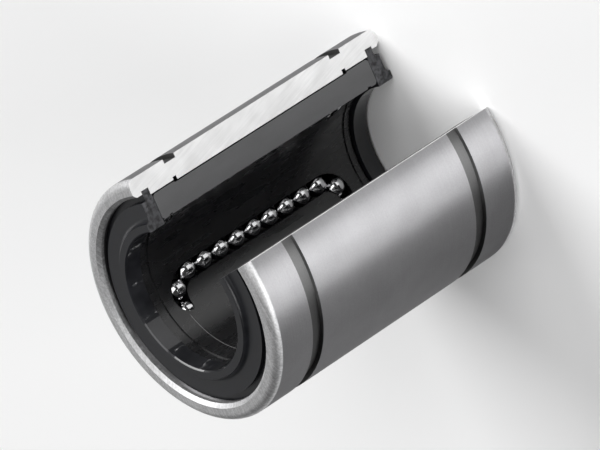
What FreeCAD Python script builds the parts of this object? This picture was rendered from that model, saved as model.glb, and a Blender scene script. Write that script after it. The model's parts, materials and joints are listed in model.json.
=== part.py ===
"""Open linear ball bearing for a 16 mm shaft.

A hardened steel sleeve with a lengthwise opening holds a moulded retainer,
four closed circuits of steel balls and a wiper seal at each end.
Millimetres, Z along the shaft, origin on the axis at mid length, opening towards -Y.
"""
import FreeCAD, Part
import math
import os

import Sketcher
from FreeCAD import Placement, Rotation, Vector

# Driving sizes in mm and degrees
SIZES = {
    "shaft_diameter": 16.0,
    "sleeve_length": 37.0,
    "sleeve_wall": 2.609,
    "opening_angle": 75.0,
    "corner_radius": 0.9,
    "ring_groove_inset": 5.25,
    "ring_groove_width": 1.6,
    "ring_groove_depth": 0.5,
    "counterbore_depth": 6.0,
    "counterbore_step": 0.15,
    "undercut_width": 0.5,
    "undercut_depth": 0.3,
    "mouth_step": 0.45,
    "mouth_chamfer": 0.4,
    "bead_seat_inset": 1.15,
    "bead_seat_width": 1.0,
    "bead_seat_depth": 0.35,
    "ball_diameter": 2.381,
    "ball_gap": 0.119,
    "return_lift": 0.88,
    "first_circuit_angle": 28.8,
    "circuit_spacing": 75.8,
    "land_width": 2.2,
    "land_ramp": 0.8,
    "land_root": 0.3,
    "cage_bore_clearance": 0.5,
    "cage_edge_chamfer": 0.25,
    "turn_wall": 2.3,
    "bore_line_inset": 3.3,
    "bore_line_width": 0.45,
    "bore_line_depth": 0.15,
    "seal_depth": 2.25,
    "rim_gap": 0.8,
    "web_recess": 0.6,
    "lip_wall": 0.95,
    "lip_flare": 0.55,
    "lip_recess": 0.1,
    "lip_chamfer": 0.15,
    # Clearances between the pieces
    "shaft_clearance": 0.06,
    "race_clearance": 0.03,
    "ball_play": 0.07,
    "cage_gap": 0.15,
    "land_gap": 0.2,
    "seal_fit": 0.05,
}

# Balls in each half-round turn
TURN_BALLS = 3

# Sides of the opening: +1 lies towards +X
SIDES = {"right": 1, "left": -1}

# Pairs of circuits, each with its count of spacings from the pair nearest the opening
PAIRS = {"near": 0, "far": 1}

# Ends of the bearing: +1 lies towards +Z
ENDS = {"top": 1, "bottom": -1}

# Sizes that follow from the driving ones, as expressions
LENGTHS = {
    "ball_radius": "Sizes.ball_diameter / 2",
    "pitch": "Sizes.ball_diameter + Sizes.ball_gap",
    "turn_radius": f"Fit.pitch / (2 * sin(90 / {TURN_BALLS}))",
    "channel_radius": "Fit.ball_radius + Sizes.ball_play",
    "lip_radius": "Sizes.shaft_diameter / 2 + Sizes.shaft_clearance",
    "load_radius": "Fit.lip_radius + Fit.ball_radius",
    "return_radius": "Fit.load_radius + Sizes.return_lift",
    "race_radius": "Fit.load_radius + Fit.ball_radius + Sizes.race_clearance",
    "relief_radius": "Fit.return_radius + Fit.ball_radius + Sizes.ball_play",
    "sleeve_radius": "Fit.relief_radius + Sizes.sleeve_wall",
    "counterbore_radius": "Fit.relief_radius + Sizes.counterbore_step",
    "undercut_radius": "Fit.counterbore_radius + Sizes.undercut_depth",
    "mouth_radius": "Fit.counterbore_radius + Sizes.mouth_step",
    "bead_seat_radius": "Fit.mouth_radius + Sizes.bead_seat_depth",
    "end_wall": "Fit.sleeve_radius - Fit.mouth_radius - Sizes.mouth_chamfer",
    "corner": "min(Sizes.corner_radius; Fit.end_wall * 0.6)",
    "half_length": "Sizes.sleeve_length / 2",
    "cage_bore_radius": "Sizes.shaft_diameter / 2 + Sizes.cage_bore_clearance",
    "cage_radius": "Fit.relief_radius - Sizes.cage_gap",
    "cage_half": "Fit.half_length - Sizes.seal_depth - Sizes.seal_fit",
    "track_half": "Fit.cage_half - Sizes.turn_wall - Fit.channel_radius - Fit.turn_radius",
    "row_balls": "floor(2 * Fit.track_half / Fit.pitch)",
    "straight_half": "Fit.row_balls * Fit.pitch / 2",
    "land_half": "Fit.straight_half - Sizes.land_gap",
}
ANGLES = {
    "span": "360 deg - Sizes.opening_angle * 1 deg",
    "row_angle": "acos((Fit.load_radius ^ 2 + Fit.return_radius ^ 2 - 4 * Fit.turn_radius ^ 2)"
                 " / (2 * Fit.load_radius * Fit.return_radius))",
    "land_angle": "2 * asin(Sizes.land_width / (2 * Fit.relief_radius))",
    "recess_angle": "2 * asin((Sizes.land_width / 2 + Sizes.land_gap) / Fit.race_radius)",
}


def add_sheet(doc):
    """Spreadsheet of the driving sizes, one named cell each."""
    sheet = doc.addObject("Spreadsheet::Sheet", "Sizes")
    for row, (alias, value) in enumerate(SIZES.items(), start=1):
        sheet.set(f"A{row}", alias)
        sheet.set(f"B{row}", str(value))
        sheet.setAlias(f"B{row}", alias)
    doc.recompute()
    return sheet


def add_fit(doc):
    """Variable set of the sizes that follow from the sheet."""
    fit = doc.addObject("App::VarSet", "Fit")

    def add(kind, name, expression):
        fit.addProperty(kind, name, "Fit")
        fit.setExpression(name, expression)
        doc.recompute()

    for name, expression in LENGTHS.items():
        add("App::PropertyFloat", name, expression)
    for name, expression in ANGLES.items():
        add("App::PropertyAngle", name, expression)
    for pair, spacings in PAIRS.items():
        load, back = f"Fit.{pair}_load_angle", f"Fit.{pair}_return_angle"
        load_x, load_y = polar("Fit.load_radius", load)
        back_x, back_y = polar("Fit.return_radius", back)
        add("App::PropertyAngle", f"{pair}_load_angle",
            "(Sizes.opening_angle / 2 + Sizes.first_circuit_angle"
            f" + {spacings} * Sizes.circuit_spacing) * 1 deg - Fit.row_angle / 2")
        add("App::PropertyAngle", f"{pair}_return_angle", f"{load} + Fit.row_angle")
        add("App::PropertyFloat", f"{pair}_mid_x", f"({load_x} + {back_x}) / 2")
        add("App::PropertyFloat", f"{pair}_mid_y", f"({load_y} + {back_y}) / 2")
        add("App::PropertyAngle", f"{pair}_turn", f"atan2({load_y} - {back_y}; {load_x} - {back_x})")
    return fit


def polar(radius, angle):
    """Expressions for x and y at an angle from the middle of the opening, on the +X side."""
    return f"{radius} * sin({angle})", f"(-{radius} * cos({angle}))"


def mirrored(upper):
    """Whole outline from its upper half, listed from the outside to the bore."""
    lower = [(corner[0], f"-({corner[1]})") for corner in reversed(upper)]
    for index, corner in enumerate(upper):
        if len(corner) == 3:
            lower[len(upper) - 2 - index] += (corner[2],)
    return upper + lower


def new_sketch(body, name, role):
    """Sketch on one of the body's own origin planes."""
    plane = next(item for item in body.Origin.OriginFeatures if item.Role == role)
    sketch = body.newObject("Sketcher::SketchObject", name)
    sketch.AttachmentSupport = (plane, [""])
    sketch.MapMode = "FlatFace"
    return sketch


def arc_about(centre_x, start, end):
    """Short arc between two points about a centre of known x, and whether it runs backwards."""
    middle, chord = (start + end) / 2, end - start
    centre_y = middle.y - (centre_x - middle.x) * chord.x / chord.y
    centre = Vector(centre_x, centre_y, 0)
    angles = [math.atan2(point.y - centre_y, point.x - centre_x) for point in (start, end)]
    backwards = (angles[1] - angles[0]) % (2 * math.pi) > math.pi
    if backwards:
        angles.reverse()
    circle = Part.Circle(centre, Vector(0, 0, 1), centre.distanceToPoint(start))
    return Part.ArcOfCircle(circle, *angles), backwards


def add_outline(sketch, corners):
    """Closed outline whose corners are bound to x and y expressions.

    A third item in a corner is the x of the centre of the arc that leads on to the next corner.
    """
    points = [Vector(*(float(sketch.evalExpression(item)) for item in corner[:2]), 0)
              for corner in corners]
    first = sketch.GeometryCount
    count = len(corners)
    starts, ends = [], []
    for index, corner in enumerate(corners):
        start, end = points[index], points[(index + 1) % count]
        backwards = False
        edge = Part.LineSegment(start, end)
        if len(corner) == 3:
            edge, backwards = arc_about(float(sketch.evalExpression(corner[2])), start, end)
        sketch.addGeometry(edge, False)
        starts.append(2 if backwards else 1)
        ends.append(1 if backwards else 2)
    for index, corner in enumerate(corners):
        edge, following = first + index, first + (index + 1) % count
        sketch.addConstraint(
            Sketcher.Constraint("Coincident", edge, ends[index], following, starts[(index + 1) % count]))
        bind_distance(sketch, "DistanceX", edge, starts[index], points[index].x, corner[0])
        bind_distance(sketch, "DistanceY", edge, starts[index], points[index].y, corner[1])
        if len(corner) == 3:
            centre = sketch.Geometry[edge].Center
            bind_distance(sketch, "DistanceX", edge, 3, centre.x, corner[2])


def bind_distance(sketch, kind, edge, point, value, expression):
    """Distance from the sketch's origin to a point, bound to an expression."""
    index = sketch.addConstraint(Sketcher.Constraint(kind, -1, 1, edge, point, value))
    sketch.setExpression(f"Constraints[{index}]", expression)


def revolve(body, kind, sketch, name, angle):
    """Turn a sketch about its own vertical axis, equally to both sides."""
    feature = body.newObject(f"PartDesign::{kind}", name)
    feature.Profile = sketch
    feature.ReferenceAxis = (sketch, ["V_Axis"])
    feature.Midplane = True
    feature.setExpression("Angle", angle)
    return feature


def revolved_outline(body, kind, name, corners, angle, turned="0 deg"):
    """Revolve a radius and height outline about Z, centred at an angle from +Y."""
    sketch = new_sketch(body, f"{name}_profile", "YZ_Plane")
    sketch.AttachmentOffset = Placement(Vector(), Rotation(Vector(0, 1, 0), 1))
    sketch.setExpression("AttachmentOffset.Rotation.Angle", turned)
    add_outline(sketch, corners)
    return revolve(body, kind, sketch, name, angle)


def new_body(doc, name):
    """Empty body with the label that names its file."""
    body = doc.addObject("PartDesign::Body", name)
    body.Label = name
    return body


def at_load_rows():
    """Name of each circuit and the turn from +Y to its load row."""
    for pair in PAIRS:
        for side, sign in SIDES.items():
            yield f"{pair}_{side}", f"{sign} * (Fit.{pair}_load_angle - 180 deg)"


def build_sleeve(doc):
    """Steel sleeve with two ring grooves, stepped bore and four raceway lands."""
    body = new_body(doc, "outer_sleeve")
    groove_outer = "Fit.half_length - Sizes.ring_groove_inset"
    groove_inner = f"{groove_outer} - Sizes.ring_groove_width"
    groove_floor = "Fit.sleeve_radius - Sizes.ring_groove_depth"
    seat_outer = "Fit.half_length - Sizes.bead_seat_inset"
    seat_inner = f"{seat_outer} - Sizes.bead_seat_width"
    step = "Fit.half_length - Sizes.counterbore_depth"
    corner_centre = "Fit.sleeve_radius - Fit.corner"
    revolved_outline(body, "Revolution", "sleeve_shell", mirrored([
        ("Fit.sleeve_radius", groove_inner),
        (groove_floor, groove_inner),
        (groove_floor, groove_outer),
        ("Fit.sleeve_radius", groove_outer),
        ("Fit.sleeve_radius", "Fit.half_length - Fit.corner", corner_centre),
        (corner_centre, "Fit.half_length"),
        ("Fit.mouth_radius + Sizes.mouth_chamfer", "Fit.half_length"),
        ("Fit.mouth_radius", "Fit.half_length - Sizes.mouth_chamfer"),
        ("Fit.mouth_radius", seat_outer),
        ("Fit.bead_seat_radius", seat_outer),
        ("Fit.bead_seat_radius", seat_inner),
        ("Fit.counterbore_radius", seat_inner),
        ("Fit.counterbore_radius", f"{step} + Sizes.undercut_width"),
        ("Fit.undercut_radius", f"{step} + Sizes.undercut_width"),
        ("Fit.undercut_radius", step),
        ("Fit.relief_radius", step),
    ]), "Fit.span")
    land = mirrored([
        ("Fit.relief_radius + Sizes.land_root", "Fit.land_half"),
        ("Fit.relief_radius", "Fit.land_half"),
        ("Fit.race_radius", "Fit.land_half - Sizes.land_ramp"),
    ])
    for circuit, turned in at_load_rows():
        revolved_outline(body, "Revolution", f"{circuit}_land", land, "Fit.land_angle", turned)
    return body


def build_retainer(doc):
    """Moulded retainer with four ball channels, open to the shaft along the load rows."""
    body = new_body(doc, "ball_retainer")
    collar_radius = "Fit.counterbore_radius - Sizes.cage_gap"
    collar_foot = "Fit.half_length - Sizes.counterbore_depth + Sizes.undercut_width"
    line_outer = "Fit.half_length - Sizes.bore_line_inset"
    line_inner = f"{line_outer} - Sizes.bore_line_width"
    line_floor = "Fit.cage_bore_radius + Sizes.bore_line_depth"
    edge = "Fit.cage_half - Sizes.cage_edge_chamfer"
    revolved_outline(body, "Revolution", "cage_shell", mirrored([
        ("Fit.cage_radius", collar_foot),
        (collar_radius, collar_foot),
        (collar_radius, edge),
        (f"{collar_radius} - Sizes.cage_edge_chamfer", "Fit.cage_half"),
        ("Fit.cage_bore_radius + Sizes.cage_edge_chamfer", "Fit.cage_half"),
        ("Fit.cage_bore_radius", edge),
        ("Fit.cage_bore_radius", line_outer),
        (line_floor, line_outer),
        (line_floor, line_inner),
        ("Fit.cage_bore_radius", line_inner),
    ]), "Fit.span")
    recess = mirrored([
        ("Fit.sleeve_radius", "Fit.land_half + Sizes.land_gap"),
        ("Fit.race_radius - Sizes.land_gap", "Fit.land_half + Sizes.land_gap"),
    ])
    for circuit, turned in at_load_rows():
        revolved_outline(body, "Groove", f"{circuit}_recess", recess, "Fit.recess_angle", turned)
    for pair in PAIRS:
        for side, sign in SIDES.items():
            cut_channel(body, pair, side, sign)
    return body


def channel_sketch(body, name, pair, sign, height):
    """Sketch across a circuit: origin midway between its rows, its y axis outwards."""
    sketch = new_sketch(body, name, "XY_Plane")
    sketch.AttachmentOffset = Placement(Vector(), Rotation(Vector(0, 0, 1), 1))
    sketch.setExpression("AttachmentOffset.Base.x", f"{sign} * Fit.{pair}_mid_x")
    sketch.setExpression("AttachmentOffset.Base.y", f"Fit.{pair}_mid_y")
    sketch.setExpression("AttachmentOffset.Base.z", height)
    sketch.setExpression("AttachmentOffset.Rotation.Angle", f"{sign} * Fit.{pair}_turn")
    return sketch


def add_channel_section(sketch, row_sign):
    """Channel section at one row: a round floor towards the shaft and walls open outwards."""
    row = f"{row_sign} * Fit.turn_radius"
    wall_top = "Fit.sleeve_radius - Fit.load_radius"
    near_wall, far_wall = f"{row} - Fit.channel_radius", f"{row} + Fit.channel_radius"
    add_outline(sketch, [
        (far_wall, wall_top),
        (near_wall, wall_top),
        (near_wall, "0", row),
        (row, "-Fit.channel_radius", row),
        (far_wall, "0"),
    ])


def cut_channel(body, pair, side, sign):
    """Cut one circuit's channel: two straight runs and a half-round turn at each end."""
    runs = channel_sketch(body, f"{pair}_{side}_runs_profile", pair, sign, "0")
    for row_sign in (1, -1):
        add_channel_section(runs, row_sign)
    pocket = body.newObject("PartDesign::Pocket", f"{pair}_{side}_runs")
    pocket.Profile = runs
    pocket.Midplane = True
    pocket.setExpression("Length", "2 * Fit.straight_half")
    for end, end_sign in ENDS.items():
        name = f"{pair}_{side}_{end}_turn"
        section = channel_sketch(body, f"{name}_profile", pair, sign, f"{end_sign} * Fit.straight_half")
        add_channel_section(section, 1)
        groove = revolve(body, "Groove", section, name, "180 deg")
        groove.Midplane = False
        groove.Reversed = end_sign > 0


def build_seal(doc, end, sign):
    """Wiper seal: a bead in the sleeve's seat, a web and a raised lip round the shaft."""
    body = new_body(doc, f"{end}_seal")
    bead_radius = "Fit.bead_seat_radius - Sizes.seal_fit"
    rim_radius = "Fit.mouth_radius - Sizes.rim_gap"
    heel_radius = "Fit.counterbore_radius - Sizes.seal_fit"
    lip_outside = "Fit.lip_radius + Sizes.lip_wall"
    flare_foot = f"{lip_outside} + Sizes.lip_flare"
    seat_outer = "Fit.half_length - Sizes.bead_seat_inset"
    bead_outer = f"{seat_outer} - Sizes.seal_fit"
    bead_inner = f"{seat_outer} - Sizes.bead_seat_width + Sizes.seal_fit"
    web = "Fit.half_length - Sizes.web_recess"
    lip = "Fit.half_length - Sizes.lip_recess"
    back = "Fit.half_length - Sizes.seal_depth"
    corners = [
        (heel_radius, back),
        (heel_radius, bead_inner),
        (bead_radius, bead_inner),
        (bead_radius, bead_outer),
        (rim_radius, bead_outer),
        (rim_radius, web),
        (flare_foot, web, flare_foot),
        (lip_outside, lip),
        ("Fit.lip_radius + Sizes.lip_chamfer", lip),
        ("Fit.lip_radius", f"{lip} - Sizes.lip_chamfer"),
        ("Fit.lip_radius", back),
    ]
    revolved_outline(body, "Revolution", f"{end}_wiper",
                     [(radius, f"{sign} * ({height})", *arc) for radius, height, *arc in corners],
                     "Fit.span")
    return body


def add_balls(doc, name, places):
    """One group of like balls, each bound to its place on the track."""
    balls = []
    for number, place in enumerate(places, start=1):
        ball = doc.addObject("Part::Sphere", f"{name}_ball_{number}")
        ball.setExpression("Radius", "Fit.ball_radius")
        for axis, expression in zip("xyz", place):
            ball.setExpression(f"Placement.Base.{axis}", expression)
        balls.append(ball)
    group = doc.addObject("Part::Compound", name)
    group.Label = name
    group.Links = balls
    return group


def build_circuit(doc, fit, pair, side, sign):
    """Balls of one circuit: a load row, a return row and the turn at each end."""
    groups = []
    count = int(fit.row_balls)
    load_x, load_y = polar("Fit.load_radius", f"Fit.{pair}_load_angle")
    back_x, back_y = polar("Fit.return_radius", f"Fit.{pair}_return_angle")
    rows = (("load", load_x, load_y, 1, "top"), ("return", back_x, back_y, -1, "bottom"))
    for row, row_x, row_y, travel, end in rows:
        # The row starts at the turn it comes from, and the next turn starts where the row ends
        row_places, turn_places = [], []
        for number in range(count):
            height = f"{travel} * ({number} * Fit.pitch - Fit.straight_half)"
            row_places.append((f"{sign} * {row_x}", row_y, height))
        for number in range(TURN_BALLS):
            angle = number * 180 / TURN_BALLS
            turn_places.append((
                f"{sign} * (Fit.{pair}_mid_x + ({row_x} - Fit.{pair}_mid_x) * cos({angle}))",
                f"Fit.{pair}_mid_y + ({row_y} - Fit.{pair}_mid_y) * cos({angle})",
                f"{travel} * (Fit.straight_half + Fit.turn_radius * sin({angle}))",
            ))
        groups.append(add_balls(doc, f"{pair}_{side}_{row}_row", row_places))
        groups.append(add_balls(doc, f"{pair}_{side}_{end}_turn_balls", turn_places))
    return groups


def check(doc, parts):
    """Stop at any failed object, any cut that removed nothing and any unsound shape."""
    for item in doc.Objects:
        if {"Invalid", "Error"} & set(item.State):
            raise RuntimeError(f"{item.Name} failed: {item.State}")
        if item.TypeId in ("PartDesign::Pocket", "PartDesign::Groove"):
            if item.Shape.Volume >= item.BaseFeature.Shape.Volume:
                raise RuntimeError(f"{item.Name} cuts nothing")
    for part in parts:
        if part.Shape.isNull() or not part.Shape.isValid():
            raise RuntimeError(f"{part.Label} has no sound shape")


def main():
    doc = FreeCAD.newDocument("open_linear_bearing")
    add_sheet(doc)
    fit = add_fit(doc)
    parts = [build_sleeve(doc), build_retainer(doc)]
    parts += [build_seal(doc, end, sign) for end, sign in ENDS.items()]
    for pair in PAIRS:
        for side, sign in SIDES.items():
            parts += build_circuit(doc, fit, pair, side, sign)
    doc.recompute()
    check(doc, parts)
    os.makedirs("parts", exist_ok=True)
    for part in parts:
        part.Shape.exportStep(f"parts/{part.Label}.step")
        print(part.Label, len(part.Shape.Solids), round(part.Shape.Volume, 3))


main()
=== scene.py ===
"""Looks of the open linear ball bearing, laid out as an add-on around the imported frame."""
import json
import math
from collections import namedtuple

import bpy
from bpy.props import FloatProperty, FloatVectorProperty, IntProperty, PointerProperty
from mathutils import Matrix, Quaternion, Vector


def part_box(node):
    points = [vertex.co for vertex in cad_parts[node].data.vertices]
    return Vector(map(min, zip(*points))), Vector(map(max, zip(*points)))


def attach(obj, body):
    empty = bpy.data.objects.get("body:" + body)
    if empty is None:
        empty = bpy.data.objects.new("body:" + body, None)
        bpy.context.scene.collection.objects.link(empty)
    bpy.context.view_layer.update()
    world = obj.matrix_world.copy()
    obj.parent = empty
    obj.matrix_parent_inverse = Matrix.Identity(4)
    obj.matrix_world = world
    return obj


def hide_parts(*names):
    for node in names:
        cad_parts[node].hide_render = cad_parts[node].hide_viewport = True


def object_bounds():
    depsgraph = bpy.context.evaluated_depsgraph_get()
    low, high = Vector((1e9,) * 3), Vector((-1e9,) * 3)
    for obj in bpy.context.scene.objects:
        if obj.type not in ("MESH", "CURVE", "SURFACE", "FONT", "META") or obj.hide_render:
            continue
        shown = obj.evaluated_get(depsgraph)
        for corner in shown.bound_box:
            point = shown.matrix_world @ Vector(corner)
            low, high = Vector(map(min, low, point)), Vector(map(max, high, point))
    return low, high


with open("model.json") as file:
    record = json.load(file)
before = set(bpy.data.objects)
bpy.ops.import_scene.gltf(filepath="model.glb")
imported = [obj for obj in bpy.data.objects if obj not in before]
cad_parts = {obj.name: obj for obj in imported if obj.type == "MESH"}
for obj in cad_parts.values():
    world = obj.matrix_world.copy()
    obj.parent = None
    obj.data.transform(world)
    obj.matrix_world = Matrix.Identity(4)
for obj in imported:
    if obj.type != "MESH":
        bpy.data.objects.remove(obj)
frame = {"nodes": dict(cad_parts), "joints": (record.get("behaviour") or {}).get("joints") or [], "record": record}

bl_info = {
    "name": "Open linear bearing",
    "version": (1, 0, 0),
    "blender": (4, 5, 0),
    "location": "View3D > Sidebar > Bearing",
    "description": "Finishes the sleeve, retainer, seals and balls of an open linear ball bearing",
    "category": "Object",
}

MM = 0.001
CAD_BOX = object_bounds()
MOUNTS = {mount["name"]: mount for mount in frame["record"]["mounts"]}
JOINTS = {joint["name"]: joint for joint in frame["joints"]}

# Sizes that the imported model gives, in metres unless the name says millimetres
HALF_LENGTH = CAD_BOX[1].z
FLOOR_HEIGHT = CAD_BOX[0].z
SLEEVE_DIAMETER_MM = 2 * MOUNTS["housing_seat"]["dims"]["r_mm"]
LIP_RADIUS = MOUNTS["shaft_bore"]["dims"]["r_mm"] * MM
GROOVE_RADIUS = MOUNTS["top_ring_groove"]["pos_m"][1]
GROOVE_PLACE = MOUNTS["top_ring_groove"]["pos_m"][2]

# Width over which one finish gives way to the next at an edge
EDGE_BLUR = 0.02 * MM

# Most of a noise texture's values lie between these
NOISE_LOW = 0.3
NOISE_HIGH = 0.7

# Soft square lamps: azimuth from the opening's side and elevation in degrees, width in metres and power
# in watts. They all stand at one distance, in metres, from the bearing
Lamp = namedtuple("Lamp", "name azimuth elevation width power")
LAMPS = (
    Lamp("key", 62, 30, 1.33, 36.7),
    Lamp("fill", -5, 45, 1.33, 12.2),
    Lamp("side", -58, 10, 0.73, 19.5),
    Lamp("flank", -77, 10, 0.73, 12.5),
    Lamp("top", 0, 85, 1.33, 7.2),
    Lamp("left", 125, 12, 0.73, 3.6),
    Lamp("back", 144, 36, 1.33, 3.6),
)
LAMP_DISTANCE = 2.0
FLOOR_HALF = 2.0


class Wire:
    """A shader socket that takes part in sums; each operation adds one Math node."""

    def __init__(self, tree, socket):
        self.tree = tree
        self.socket = socket

    def math(self, operation, *values):
        """Add a Math node on values or wires."""
        node = self.tree.nodes.new("ShaderNodeMath")
        node.operation = operation
        for index, value in enumerate(values):
            if isinstance(value, Wire):
                self.tree.links.new(value.socket, node.inputs[index])
            else:
                node.inputs[index].default_value = value
        return Wire(self.tree, node.outputs[0])

    def __add__(self, other):
        return self.math("ADD", self, other)

    def __radd__(self, other):
        return self.math("ADD", other, self)

    def __sub__(self, other):
        return self.math("SUBTRACT", self, other)

    def __rsub__(self, other):
        return self.math("SUBTRACT", other, self)

    def __mul__(self, other):
        return self.math("MULTIPLY", self, other)

    def __rmul__(self, other):
        return self.math("MULTIPLY", other, self)

    def __abs__(self):
        return self.math("ABSOLUTE", self)


class Nodes:
    """A node tree under construction."""

    def __init__(self, tree):
        self.tree = tree

    def node(self, kind, settings=None, sockets=None, outputs=0):
        """Add a node, set it up, fill its sockets and return one output, or a list of several."""
        node = self.tree.nodes.new(kind)
        for name, value in (settings or {}).items():
            setattr(node, name, value)
        for name, value in (sockets or {}).items():
            self.fill(node, name, value)
        if isinstance(outputs, tuple):
            return [self.output(node, name) for name in outputs]
        return self.output(node, outputs)

    def output(self, node, name):
        """The output in use that has a name or a number."""
        if isinstance(name, int):
            return Wire(self.tree, [item for item in node.outputs if item.enabled][name])
        return Wire(self.tree, node.outputs[name])

    def fill(self, node, name, value):
        """Set or link one socket, given by its number or by its name among those in use."""
        if isinstance(name, int):
            found = [node.inputs[name]]
        else:
            found = [item for item in node.inputs if item.name == name and item.enabled]
        if not found:
            raise RuntimeError(f"{node.bl_idname} has no socket {name}")
        if isinstance(value, Wire):
            self.tree.links.new(value.socket, found[0])
        else:
            found[0].default_value = value


class Finish(Nodes):
    """One material under construction."""

    def __init__(self, name):
        self.material = bpy.data.materials.new(name)
        self.material.use_nodes = True
        super().__init__(self.material.node_tree)
        self.tree.nodes.clear()
        self.place = self.node("ShaderNodeTexCoord", outputs="Object")

    def surface(self, shader):
        """Use a shader for the whole surface and return the material."""
        self.node("ShaderNodeOutputMaterial", None, {"Surface": shader}, outputs=())
        return self.material

    def principled(self, **sockets):
        """A Principled shader with some of its sockets set or linked."""
        filled = {name.replace("_", " "): value for name, value in sockets.items()}
        return self.node("ShaderNodeBsdfPrincipled", None, filled)

    def layer(self, mask, under, over):
        """One shader over another where the mask is one."""
        return self.node("ShaderNodeMixShader", None, {"Fac": mask, 1: under, 2: over})

    def axes(self):
        """The three coordinates of a place on the piece."""
        return self.node("ShaderNodeSeparateXYZ", None, {"Vector": self.place}, ("X", "Y", "Z"))

    def radius(self):
        """Distance from the bearing's axis."""
        flat = self.node("ShaderNodeMapping", None, {"Vector": self.place, "Scale": (1.0, 1.0, 0.0)})
        return self.node("ShaderNodeVectorMath", {"operation": "LENGTH"}, {0: flat}, "Value")

    def marks(self, vector, size, turn=0.0, detail=3.0):
        """Noise whose features have a length along each axis, turned about Z."""
        spread = {"Vector": vector, "Rotation": (0.0, 0.0, turn), "Scale": size}
        spot = self.node("ShaderNodeMapping", {"vector_type": "TEXTURE"}, spread)
        return self.node("ShaderNodeTexNoise", None, {"Vector": spot, "Scale": 1.0, "Detail": detail})

    def grain(self, size, detail=2.0):
        """Noise whose features have one size all over the piece."""
        return self.marks(self.place, (size, size, size), detail=detail)

    def both(self, first, second, share):
        """Two noises in one, with a share of the second."""
        return first * (1 - share) + second * share

    def ramp(self, value, low, high, start=0.0, end=1.0):
        """Value taken smoothly from start to end as it goes from low to high."""
        return self.node("ShaderNodeMapRange", {"interpolation_type": "SMOOTHSTEP"},
                         {"Value": value, "From Min": low, "From Max": high, "To Min": start, "To Max": end})

    def vary(self, noise, limits):
        """Noise stretched to run between two limits."""
        return self.ramp(noise, NOISE_LOW, NOISE_HIGH, *limits)

    def below(self, value, low, high):
        """Mask that falls from one to nought between two limits."""
        return self.ramp(value, low, high, 1.0, 0.0)

    def near(self, value, low, high):
        """Mask that is one between two limits."""
        return self.ramp(value, low - EDGE_BLUR, low) * self.below(value, high, high + EDGE_BLUR)

    def cut(self, opening):
        """Mask of the two flat faces along the opening."""
        x, y, _ = self.axes()
        depth = abs(x) * math.cos(opening / 2) + y * math.sin(opening / 2)
        return self.below(depth, EDGE_BLUR, 2 * EDGE_BLUR)

    def mix(self, factor, first, second):
        """Colour between two others."""
        return self.node("ShaderNodeMix", {"data_type": "RGBA"}, {"Factor": factor, "A": first, "B": second})

    def shaded(self, colour, level):
        """Colour made lighter or darker by a value."""
        parts = colour if isinstance(colour, Wire) else colour[:3]
        return self.node("ShaderNodeVectorMath", {"operation": "SCALE"}, {0: parts, "Scale": level})

    def bump(self, height, distance):
        """Normal of a surface that stands up by a distance where the height is one."""
        return self.node("ShaderNodeBump", None, {"Height": height, "Distance": distance, "Strength": 1.0})


def tint(colour):
    """Four numbers of a colour."""
    return (*colour, 1.0)


def around(middle, spread):
    """Limits at both sides of a middle value."""
    return middle - spread, middle + spread


# Ground outside: fine rings and a satin grain over broad patches
GRINDING_RINGS = (6 * MM, 6 * MM, 0.09 * MM)
SATIN_GRAIN = 0.16 * MM
SATIN_SHARE = 0.6
PATCH_GRAIN = 3 * MM
PATCH_SHARE = 0.25
GROUND_SHADES = (0.87, 1.09)
GROUND_SPREAD = 0.05
GROUND_RELIEF = 0.002 * MM
GROUND_EDGE_TINT = (0.6, 0.6, 0.6)

# The gloss of the ground outside is drawn out across the rings, along the sleeve
GLOSS_STRETCH = 0.95
GLOSS_TURN = 0.25


def ground_outside(finish, looks, radius, z, patches):
    """Shader of the ground outside, with painted shade in its ring grooves."""
    half_groove = looks.ring_groove_width / 2
    groove = (finish.near(abs(z), *around(GROOVE_PLACE, half_groove))
              * finish.near(radius, GROOVE_RADIUS - EDGE_BLUR, looks.sleeve_diameter / 2 - EDGE_BLUR))
    # The ring grooves get a darker colour: painted shade for the recess
    colour = finish.mix(groove, tint(looks.steel_colour), tint(looks.groove_shade_colour))
    rings = finish.marks(finish.place, GRINDING_RINGS)
    satin = finish.both(rings, finish.grain(SATIN_GRAIN), SATIN_SHARE)
    shades = finish.vary(finish.both(satin, patches, PATCH_SHARE), GROUND_SHADES)
    return finish.principled(
        Base_Color=finish.shaded(colour, shades), Metallic=1.0, Specular_Tint=tint(GROUND_EDGE_TINT),
        Anisotropic=GLOSS_STRETCH, Anisotropic_Rotation=GLOSS_TURN,
        Roughness=finish.vary(satin, around(looks.steel_roughness, GROUND_SPREAD)),
        Normal=finish.bump(satin, GROUND_RELIEF))


# Turned ends: lapping marks and a coarse grain, from a little way round the corner
LAPPING_MARKS = (0.1 * MM, 2.5 * MM, 2.5 * MM)
END_GRAIN = 0.22 * MM
END_GRAIN_SHARE = 0.5
END_SHADES = (0.72, 1.22)
END_ROUGHNESS = (0.5, 0.64)
END_RELIEF = 0.012 * MM
CORNER_BLEND = 0.2


def turned_end(finish, looks):
    """Shader of the grainy end rings."""
    lapped = finish.marks(finish.place, LAPPING_MARKS, looks.lap_angle)
    worn = finish.both(lapped, finish.grain(END_GRAIN, detail=4.0), END_GRAIN_SHARE)
    return finish.principled(
        Base_Color=finish.shaded(tint(looks.end_colour), finish.vary(worn, END_SHADES)), Metallic=1.0,
        Roughness=finish.vary(worn, END_ROUGHNESS), Normal=finish.bump(worn, END_RELIEF))


# Cut faces: fine grinding marks along the strip, and broad ones at a steeper slant
FINE_CUT_MARKS = (0.16 * MM, 5 * MM, 1 * MM)
BROAD_CUT_MARKS = (0.7 * MM, 9 * MM, 1 * MM)
BROAD_CUT_SHARE = 0.5
BROAD_CUT_SLANT = 1.7
CUT_PATCH_SHARE = 0.3
CUT_SHADES = (0.83, 1.06)
CUT_ROUGHNESS = (0.64, 0.76)
CUT_RELIEF = 0.004 * MM


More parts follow.
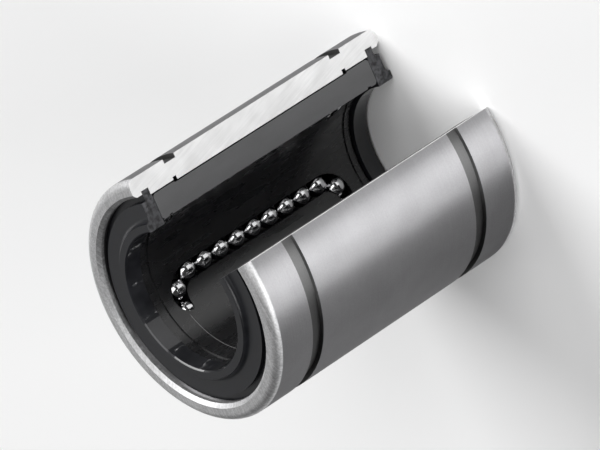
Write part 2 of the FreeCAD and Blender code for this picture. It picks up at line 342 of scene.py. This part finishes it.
def cut_steel(finish, looks, radius, z, patches):
    """Shader of the cut faces with their slanted grinding marks."""
    strip = finish.node("ShaderNodeCombineXYZ", None, {"X": radius, "Y": z})
    fine = finish.marks(strip, FINE_CUT_MARKS, looks.cut_mark_angle)
    broad = finish.marks(strip, BROAD_CUT_MARKS, looks.cut_mark_angle * BROAD_CUT_SLANT)
    slanted = finish.both(fine, broad, BROAD_CUT_SHARE)
    shades = finish.vary(finish.both(slanted, patches, CUT_PATCH_SHARE), CUT_SHADES)
    return finish.principled(
        Base_Color=finish.shaded(tint(looks.cut_colour), shades), Metallic=1.0,
        Roughness=finish.vary(slanted, CUT_ROUGHNESS), Normal=finish.bump(slanted, CUT_RELIEF))


def ground_steel(looks):
    """Hardened steel of the sleeve: ground outside, turned ends and cut faces."""
    finish = Finish("ground_steel")
    radius = finish.radius()
    _, _, z = finish.axes()
    patches = finish.grain(PATCH_GRAIN)
    corner = HALF_LENGTH - looks.corner_radius
    end = finish.ramp(abs(z), corner, corner + CORNER_BLEND * looks.corner_radius)
    outside = ground_outside(finish, looks, radius, z, patches)
    outer = finish.layer(end, outside, turned_end(finish, looks))
    cut_faces = cut_steel(finish, looks, radius, z, patches)
    return finish.surface(finish.layer(finish.cut(looks.opening_angle), outer, cut_faces))


# Moulded resin: long flow marks and a fine grain, which stands out more on the cut
FLOW_MARKS = (1.2 * MM, 1.2 * MM, 5 * MM)
RESIN_GRAIN = 0.07 * MM
RESIN_GRAIN_SHARE = 0.4
RESIN_SHADES = (0.82, 1.18)
RESIN_SPREAD = 0.04
RESIN_CUT_ROUGHER = 0.35
RESIN_GLOSS = 0.75
RESIN_RELIEF = 0.004 * MM
SKIN_RELIEF_SHARE = 0.1

# Painted highlight lines in the bore, kept to its lit part: half their width, where they begin away from
# the opening, where they fade out sideways, and how deep in the bore's wall they reach
HIGHLIGHT_HALF = 0.03 * MM
HIGHLIGHT_RISE = (0.0, 1 * MM)
HIGHLIGHT_FADE = (3.2 * MM, 3.8 * MM)
HIGHLIGHT_DEPTH = (8.6 * MM, 8.65 * MM)


def moulded_resin(looks):
    """Black moulded resin: a smooth skin, a greyer matt cut, and fine pale lines painted in the bore as
    highlights.
    """
    finish = Finish("moulded_resin")
    cut = finish.cut(looks.opening_angle)
    x, y, z = finish.axes()
    # Pale lines painted as highlights in the bore, faded out where the bore lies in shade
    between = finish.ramp(y, *HIGHLIGHT_RISE) * finish.below(abs(x), *HIGHLIGHT_FADE)
    line = finish.near(abs(z), *around(looks.highlight_line, HIGHLIGHT_HALF))
    highlight = line * between * finish.below(finish.radius(), *HIGHLIGHT_DEPTH)
    flow = finish.marks(finish.place, FLOW_MARKS)
    fine = finish.grain(RESIN_GRAIN)
    colour = finish.mix(cut, tint(looks.resin_colour), tint(looks.resin_cut_colour))
    colour = finish.mix(highlight, colour, tint(looks.highlight_colour))
    shades = finish.vary(finish.both(flow, fine, RESIN_GRAIN_SHARE), RESIN_SHADES)
    skin = finish.vary(flow, around(looks.resin_roughness, RESIN_SPREAD))
    return finish.surface(finish.principled(
        Base_Color=finish.shaded(colour, shades), Specular_IOR_Level=RESIN_GLOSS,
        Roughness=skin + cut * RESIN_CUT_ROUGHER,
        Normal=finish.bump(fine * (cut + SKIN_RELIEF_SHARE), RESIN_RELIEF)))


# Wiper rubber: a soft bloom, a fine moulded grain, a torn cut and a lip that the shaft has rubbed bright
BLOOM_GRAIN = 1.6 * MM
BLOOM_SHADES = (0.8, 1.25)
RUBBER_GRAIN = 0.1 * MM
RUBBER_SPREAD = 0.04
RUBBER_CUT_ROUGHER = 0.15
RUBBER_GLOSS = 0.3
RUBBER_RELIEF = 0.003 * MM
TORN_GRAIN = 0.5 * MM
TORN_SHADES = (0.2, 2.3)
RUBBED_FROM = LIP_RADIUS + 0.05 * MM
RUBBED_TO = LIP_RADIUS + 0.2 * MM


def wiper_rubber(looks):
    """Satin black rubber with a faint bloom, a torn cut and a rubbed lip."""
    finish = Finish("wiper_rubber")
    cut = finish.cut(looks.opening_angle)
    bloom = finish.grain(BLOOM_GRAIN, detail=4.0)
    torn = finish.vary(finish.grain(TORN_GRAIN, detail=4.0), TORN_SHADES)
    colour = finish.mix(cut, tint(looks.rubber_colour), finish.shaded(tint(looks.rubber_cut_colour), torn))
    skin = finish.vary(bloom, around(looks.rubber_roughness, RUBBER_SPREAD))
    return finish.surface(finish.principled(
        Base_Color=finish.shaded(colour, finish.vary(bloom, BLOOM_SHADES)), Specular_IOR_Level=RUBBER_GLOSS,
        Roughness=skin + cut * RUBBER_CUT_ROUGHER,
        Coat_Weight=finish.below(finish.radius(), RUBBED_FROM, RUBBED_TO) * (1 - cut),
        Normal=finish.bump(finish.grain(RUBBER_GRAIN), RUBBER_RELIEF)))


# Polished balls under a thin film of oil
FILM_GRAIN = 0.9 * MM
BALL_SHADES = (0.95, 1.05)
BALL_ROUGHNESS = (0.05, 0.1)


def polished_balls(looks):
    """Mirror-bright ball steel with a faint film of oil."""
    finish = Finish("polished_balls")
    film = finish.grain(FILM_GRAIN, detail=3.0)
    return finish.surface(finish.principled(
        Base_Color=finish.shaded(tint(looks.ball_colour), finish.vary(film, BALL_SHADES)), Metallic=1.0,
        Roughness=finish.vary(film, BALL_ROUGHNESS)))


# Floor: clouds of this size in metres, and a matt surface
FLOOR_CLOUD = 0.15
FLOOR_SHADES = (0.99, 1.0)
FLOOR_ROUGHNESS = 0.9
FLOOR_GLOSS = 0.1


def pale_floor(studio):
    """Matt pale floor with a barely seen unevenness."""
    finish = Finish("pale_floor")
    shades = finish.vary(finish.grain(FLOOR_CLOUD), FLOOR_SHADES)
    return finish.surface(finish.principled(
        Base_Color=finish.shaded(tint(studio.floor_colour), shades),
        Roughness=FLOOR_ROUGHNESS, Specular_IOR_Level=FLOOR_GLOSS))


def colour_property(name, description, default):
    """A colour that the user may change."""
    return FloatVectorProperty(
        name=name, description=description, subtype="COLOR", size=3, default=default, min=0.0, max=1.0)


def size_property(name, description, default):
    """A length that the user may change, given in millimetres."""
    return FloatProperty(
        name=name, description=description, default=default * MM, unit="LENGTH", precision=5)


def angle_property(name, description, default):
    """An angle that the user may change, given in degrees."""
    return FloatProperty(
        name=name, description=description, default=math.radians(default), subtype="ANGLE")


def share_property(name, description, default):
    """A share from nought to one that the user may change."""
    return FloatProperty(
        name=name, description=description, default=default, subtype="FACTOR", min=0.0, max=1.0)


class BearingLooks(bpy.types.PropertyGroup):
    """Sizes and colours of the bearing's pieces."""

    sleeve_diameter: size_property(
        "Sleeve diameter", "Ground outside diameter of the sleeve", SLEEVE_DIAMETER_MM)
    opening_angle: angle_property("Opening", "Angle of the lengthwise opening", 75.0)
    ring_groove_width: size_property("Ring groove", "Width of each retaining-ring groove", 1.6)
    corner_radius: size_property("End corner", "Rounding of the sleeve's outer end corners", 0.9)
    ball_diameter: size_property("Ball diameter", "Diameter of every ball", 2.381)
    ball_segments: IntProperty(
        name="Ball segments", description="Segments round each ball", default=48, min=12, max=96)
    turn_balls: IntProperty(
        name="Balls in a turn", description="Balls in each half-round turn", default=3, min=1, max=9)
    lap_angle: angle_property("Lapping", "Direction of the fine marks on the end rings", 40.0)
    cut_mark_angle: angle_property("Cut marks", "Slant of the grinding marks on the cut faces", 14.0)
    # Place of the highlight lines painted in the bore
    highlight_line: size_property("Witness line", "Distance of the bore's witness lines from mid length", 12.8)
    steel_colour: colour_property("Steel", "Colour of the ground outside", (0.38, 0.377, 0.387))
    end_colour: colour_property("Ends", "Colour of the lapped end rings", (0.55, 0.55, 0.555))
    cut_colour: colour_property("Cut faces", "Colour of the steel along the opening", (0.74, 0.74, 0.74))
    # Grooves: a darker colour painted in the ring grooves as shade
    groove_shade_colour: colour_property("Grooves", "Colour of the steel in the ring grooves", (0.16, 0.16, 0.16))
    steel_roughness: share_property("Steel roughness", "Roughness of the ground outside", 0.5)
    resin_colour: colour_property("Resin", "Colour of the retainer's moulded skin", (0.011, 0.011, 0.012))
    resin_cut_colour: colour_property(
        "Resin cut", "Colour of the retainer's cut faces", (0.046, 0.046, 0.048))
    # Colour of the highlight lines painted pale in the bore
    highlight_colour: colour_property(
        "Witness line", "Colour of the bore's witness lines", (0.28, 0.28, 0.28))
    resin_roughness: share_property("Resin roughness", "Roughness of the moulded skin", 0.28)
    rubber_colour: colour_property("Rubber", "Colour of the wiper seals", (0.009, 0.0094, 0.0115))
    rubber_cut_colour: colour_property(
        "Rubber cut", "Colour of the seals' cut faces", (0.024, 0.024, 0.026))
    rubber_roughness: share_property("Rubber roughness", "Roughness of the wiper seals", 0.36)
    ball_colour: colour_property("Balls", "Colour of the polished balls", (0.78, 0.78, 0.79))


class BearingStudio(bpy.types.PropertyGroup):
    """Camera, lamps and floor."""

    azimuth: angle_property("Azimuth", "Camera's turn about the bearing, from the opening", -36.12)
    elevation: angle_property("Elevation", "Camera's height above the horizon", 34.48)
    roll: angle_property("Roll", "Camera's turn about its own axis", -123.07)
    distance: size_property("Distance", "Camera's distance from its aim", 647.5)
    lens: FloatProperty(
        name="Lens", description="Focal length on a 36 mm sensor", default=368.88, unit="CAMERA")
    aim: FloatVectorProperty(
        name="Aim", description="Point that the camera looks at", subtype="TRANSLATION", size=3,
        unit="LENGTH", default=(0.14 * MM, 0.21 * MM, 0.37 * MM))
    floor_colour: colour_property("Floor", "Colour of the floor", (0.93, 0.93, 0.93))
    lamp_level: FloatProperty(
        name="Lamps", description="Share of each lamp's own power", default=1.0, min=0.0, max=4.0)
    world_level: share_property("World", "Brightness of the surroundings", 0.04)


def dress(node, material):
    """Give a CAD node one material."""
    slots = frame["nodes"][node].data.materials
    slots.clear()
    slots.append(material)


class BEARING_OT_sleeve(bpy.types.Operator):
    """Finish the ground steel sleeve"""

    bl_idname = "bearing.sleeve"
    bl_label = "Steel sleeve"

    def execute(self, context):
        dress("outer_sleeve", ground_steel(context.scene.bearing_looks))
        return {"FINISHED"}


class BEARING_OT_retainer(bpy.types.Operator):
    """Finish the moulded ball retainer"""

    bl_idname = "bearing.retainer"
    bl_label = "Ball retainer"

    def execute(self, context):
        dress("ball_retainer", moulded_resin(context.scene.bearing_looks))
        return {"FINISHED"}


class BEARING_OT_seals(bpy.types.Operator):
    """Finish the wiper seal at each end"""

    bl_idname = "bearing.seals"
    bl_label = "Wiper seals"

    def execute(self, context):
        rubber = wiper_rubber(context.scene.bearing_looks)
        for end in ("top", "bottom"):
            dress(f"{end}_seal", rubber)
        return {"FINISHED"}


class Recipe(Nodes):
    """A Geometry Nodes tree with named inputs."""

    def __init__(self, name):
        super().__init__(bpy.data.node_groups.new(name, "GeometryNodeTree"))
        self.tree.interface.new_socket("Geometry", in_out="OUTPUT", socket_type="NodeSocketGeometry")

    def take(self, name, kind):
        """Add a named input and return it."""
        self.tree.interface.new_socket(name, in_out="INPUT", socket_type=f"NodeSocket{kind}")
        return self.node("NodeGroupInput", outputs=name)

    def give(self, geometry):
        """Use a geometry as the result and return the tree."""
        self.node("NodeGroupOutput", None, {"Geometry": geometry}, outputs=())
        return self.tree


def ball_track():
    """Balls on a straight row, or round a turn, worked out from each ball's number."""
    recipe = Recipe("ball_track")
    count = recipe.take("Balls", "Int")
    radius = recipe.take("Ball Radius", "Float")
    segments = recipe.take("Segments", "Int")
    first = recipe.take("First Ball", "Vector")
    stride = recipe.take("Row Step", "Vector")
    centre = recipe.take("Turn Centre", "Vector")
    axis = recipe.take("Turn Axis", "Vector")
    swing = recipe.take("Turn Step", "Float")
    material = recipe.take("Material", "Material")
    number = recipe.node("GeometryNodeInputIndex")
    along = recipe.node("ShaderNodeVectorMath", {"operation": "SCALE"}, {0: stride, "Scale": number})
    row = recipe.node("ShaderNodeVectorMath", {"operation": "ADD"}, {0: first, 1: along})
    turned = recipe.node("ShaderNodeVectorRotate", None,
                         {"Vector": row, "Center": centre, "Axis": axis, "Angle": number * swing})
    points = recipe.node("GeometryNodePoints", None, {"Count": count, "Position": turned})
    ball = recipe.node("GeometryNodeMeshUVSphere", None,
                       {"Segments": segments, "Rings": segments * 0.5, "Radius": radius})
    placed = recipe.node("GeometryNodeInstanceOnPoints", None, {"Points": points, "Instance": ball})
    real = recipe.node("GeometryNodeRealizeInstances", None, {"Geometry": placed})
    smooth = recipe.node("GeometryNodeSetShadeSmooth", None, {"Geometry": real})
    painted = recipe.node("GeometryNodeSetMaterial", None, {"Geometry": smooth, "Material": material})
    return recipe.give(painted)


def grown(name, tree, values):
    """Plain mesh object from a node tree and values for its named inputs."""
    carrier = bpy.data.objects.new(f"{name}_carrier", bpy.data.meshes.new(f"{name}_carrier"))
    bpy.context.scene.collection.objects.link(carrier)
    modifier = carrier.modifiers.new("track", "NODES")
    modifier.node_group = tree
    for item in tree.interface.items_tree:
        if item.in_out == "INPUT":
            modifier[item.identifier] = values[item.name]
    depsgraph = bpy.context.evaluated_depsgraph_get()
    mesh = bpy.data.meshes.new_from_object(carrier.evaluated_get(depsgraph))
    mesh.name = name
    bpy.data.objects.remove(carrier)
    piece = bpy.data.objects.new(name, mesh)
    bpy.context.scene.collection.objects.link(piece)
    return piece


class BEARING_OT_balls(bpy.types.Operator):
    """Make the balls of the four circuits"""

    bl_idname = "bearing.balls"
    bl_label = "Ball circuits"

    def execute(self, context):
        looks = context.scene.bearing_looks
        tree = ball_track()
        common = {"Ball Radius": looks.ball_diameter / 2, "Segments": looks.ball_segments,
                  "Material": polished_balls(looks)}
        for pair in ("near", "far"):
            for side in ("right", "left"):
                self.circuit(f"{pair}_{side}", tree, common, looks)
        return {"FINISHED"}

    def circuit(self, name, tree, common, looks):
        """The two rows and two turns of one circuit."""
        pitch = JOINTS[f"{name}_load_travel"]["range_m"][1]
        for row, end, way in (("load", "top", 1), ("return", "bottom", -1)):
            low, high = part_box(f"{name}_{row}_row")
            count = round((high.z - low.z - looks.ball_diameter) / pitch) + 1
            stride = Vector((0, 0, way * pitch))
            first = (low + high) / 2 - stride * (count - 1) / 2
            self.group(f"{name}_{row}_row", tree, common | {
                "Balls": count, "First Ball": first, "Row Step": stride,
                "Turn Centre": Vector(), "Turn Axis": Vector((0, 0, 1)), "Turn Step": 0.0})
            turn = JOINTS[f"{name}_{end}_turn"]
            self.group(f"{name}_{end}_turn_balls", tree, common | {
                "Balls": looks.turn_balls, "First Ball": first + stride * count, "Row Step": Vector(),
                "Turn Centre": Vector(turn["pos_m"]), "Turn Axis": Vector(turn["axis"]),
                "Turn Step": math.pi / looks.turn_balls})

    def group(self, node, tree, values):
        """One group of balls that stands for its CAD node."""
        piece = grown(f"{node}_polished", tree, values)
        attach(piece, node)
        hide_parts(node)


def way_out(azimuth, elevation):
    """Unit vector out from the bearing; azimuth nought lies on the opening's side."""
    level = math.cos(elevation)
    return Vector((math.sin(azimuth) * level, -math.cos(azimuth) * level, math.sin(elevation)))


class BEARING_OT_studio(bpy.types.Operator):
    """Set up the floor, the lamps and the camera"""

    bl_idname = "bearing.studio"
    bl_label = "Studio"

    def execute(self, context):
        studio = context.scene.bearing_studio
        self.floor(context, studio)
        self.world(context, studio)
        for lamp in LAMPS:
            self.lamp(context, lamp, studio.lamp_level)
        self.camera(context, studio)
        context.scene.view_settings.view_transform = "Standard"
        return {"FINISHED"}

    def floor(self, context, studio):
        """A wide level floor under the bearing."""
        corners = [(x * FLOOR_HALF, y * FLOOR_HALF, FLOOR_HEIGHT)
                   for x, y in ((-1, -1), (1, -1), (1, 1), (-1, 1))]
        mesh = bpy.data.meshes.new("floor")
        mesh.from_pydata(corners, [], [(0, 1, 2, 3)])
        mesh.materials.append(pale_floor(studio))
        floor = bpy.data.objects.new("floor", mesh)
        context.scene.collection.objects.link(floor)

    def world(self, context, studio):
        """Dim white surroundings."""
        world = bpy.data.worlds.new("studio")
        world.use_nodes = True
        world.node_tree.nodes.clear()
        nodes = Nodes(world.node_tree)
        light = nodes.node("ShaderNodeBackground", None,
                           {"Color": tint((1.0, 1.0, 1.0)), "Strength": studio.world_level})
        nodes.node("ShaderNodeOutputWorld", None, {"Surface": light}, outputs=())
        context.scene.world = world

    def lamp(self, context, lamp, level):
        """One soft square lamp that faces the bearing."""
        light = bpy.data.lights.new(lamp.name, "AREA")
        light.size = lamp.width
        light.energy = lamp.power * level
        holder = bpy.data.objects.new(lamp.name, light)
        way = way_out(math.radians(lamp.azimuth), math.radians(lamp.elevation))
        holder.location = way * LAMP_DISTANCE
        holder.rotation_euler = way.to_track_quat("Z", "Y").to_euler()
        context.scene.collection.objects.link(holder)

    def camera(self, context, studio):
        """Camera at the photograph's viewing angle."""
        data = bpy.data.cameras.new("camera")
        data.lens = studio.lens
        camera = bpy.data.objects.new("camera", data)
        back = way_out(studio.azimuth, studio.elevation)
        turn = (-back).to_track_quat("-Z", "Y") @ Quaternion((0, 0, 1), studio.roll)
        place = Vector(studio.aim) + back * studio.distance
        camera.matrix_world = Matrix.Translation(place) @ turn.to_matrix().to_4x4()
        context.scene.collection.objects.link(camera)
        context.scene.camera = camera


class BEARING_PT_panel(bpy.types.Panel):
    """Steps and values of the bearing"""

    bl_idname = "BEARING_PT_panel"
    bl_label = "Open linear bearing"
    bl_space_type = "VIEW_3D"
    bl_region_type = "UI"
    bl_category = "Bearing"

    def draw(self, context):
        for step in STEPS:
            self.layout.operator(step.bl_idname)
        for group in (context.scene.bearing_looks, context.scene.bearing_studio):
            for name in group.__annotations__:
                self.layout.prop(group, name)


STEPS = (BEARING_OT_sleeve, BEARING_OT_retainer, BEARING_OT_seals, BEARING_OT_balls, BEARING_OT_studio)
CLASSES = (BearingLooks, BearingStudio, *STEPS, BEARING_PT_panel)


def register():
    """Add the classes, and the bearing's values to every scene."""
    for item in CLASSES:
        bpy.utils.register_class(item)
    bpy.types.Scene.bearing_looks = PointerProperty(type=BearingLooks)
    bpy.types.Scene.bearing_studio = PointerProperty(type=BearingStudio)


def unregister():
    """Take away what register added."""
    del bpy.types.Scene.bearing_studio
    del bpy.types.Scene.bearing_looks
    for item in reversed(CLASSES):
        bpy.utils.unregister_class(item)


def main():
    """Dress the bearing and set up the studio."""
    register()
    bpy.ops.bearing.sleeve()
    bpy.ops.bearing.retainer()
    bpy.ops.bearing.seals()
    bpy.ops.bearing.balls()
    bpy.ops.bearing.studio()


if __name__ == "__main__":
    main()
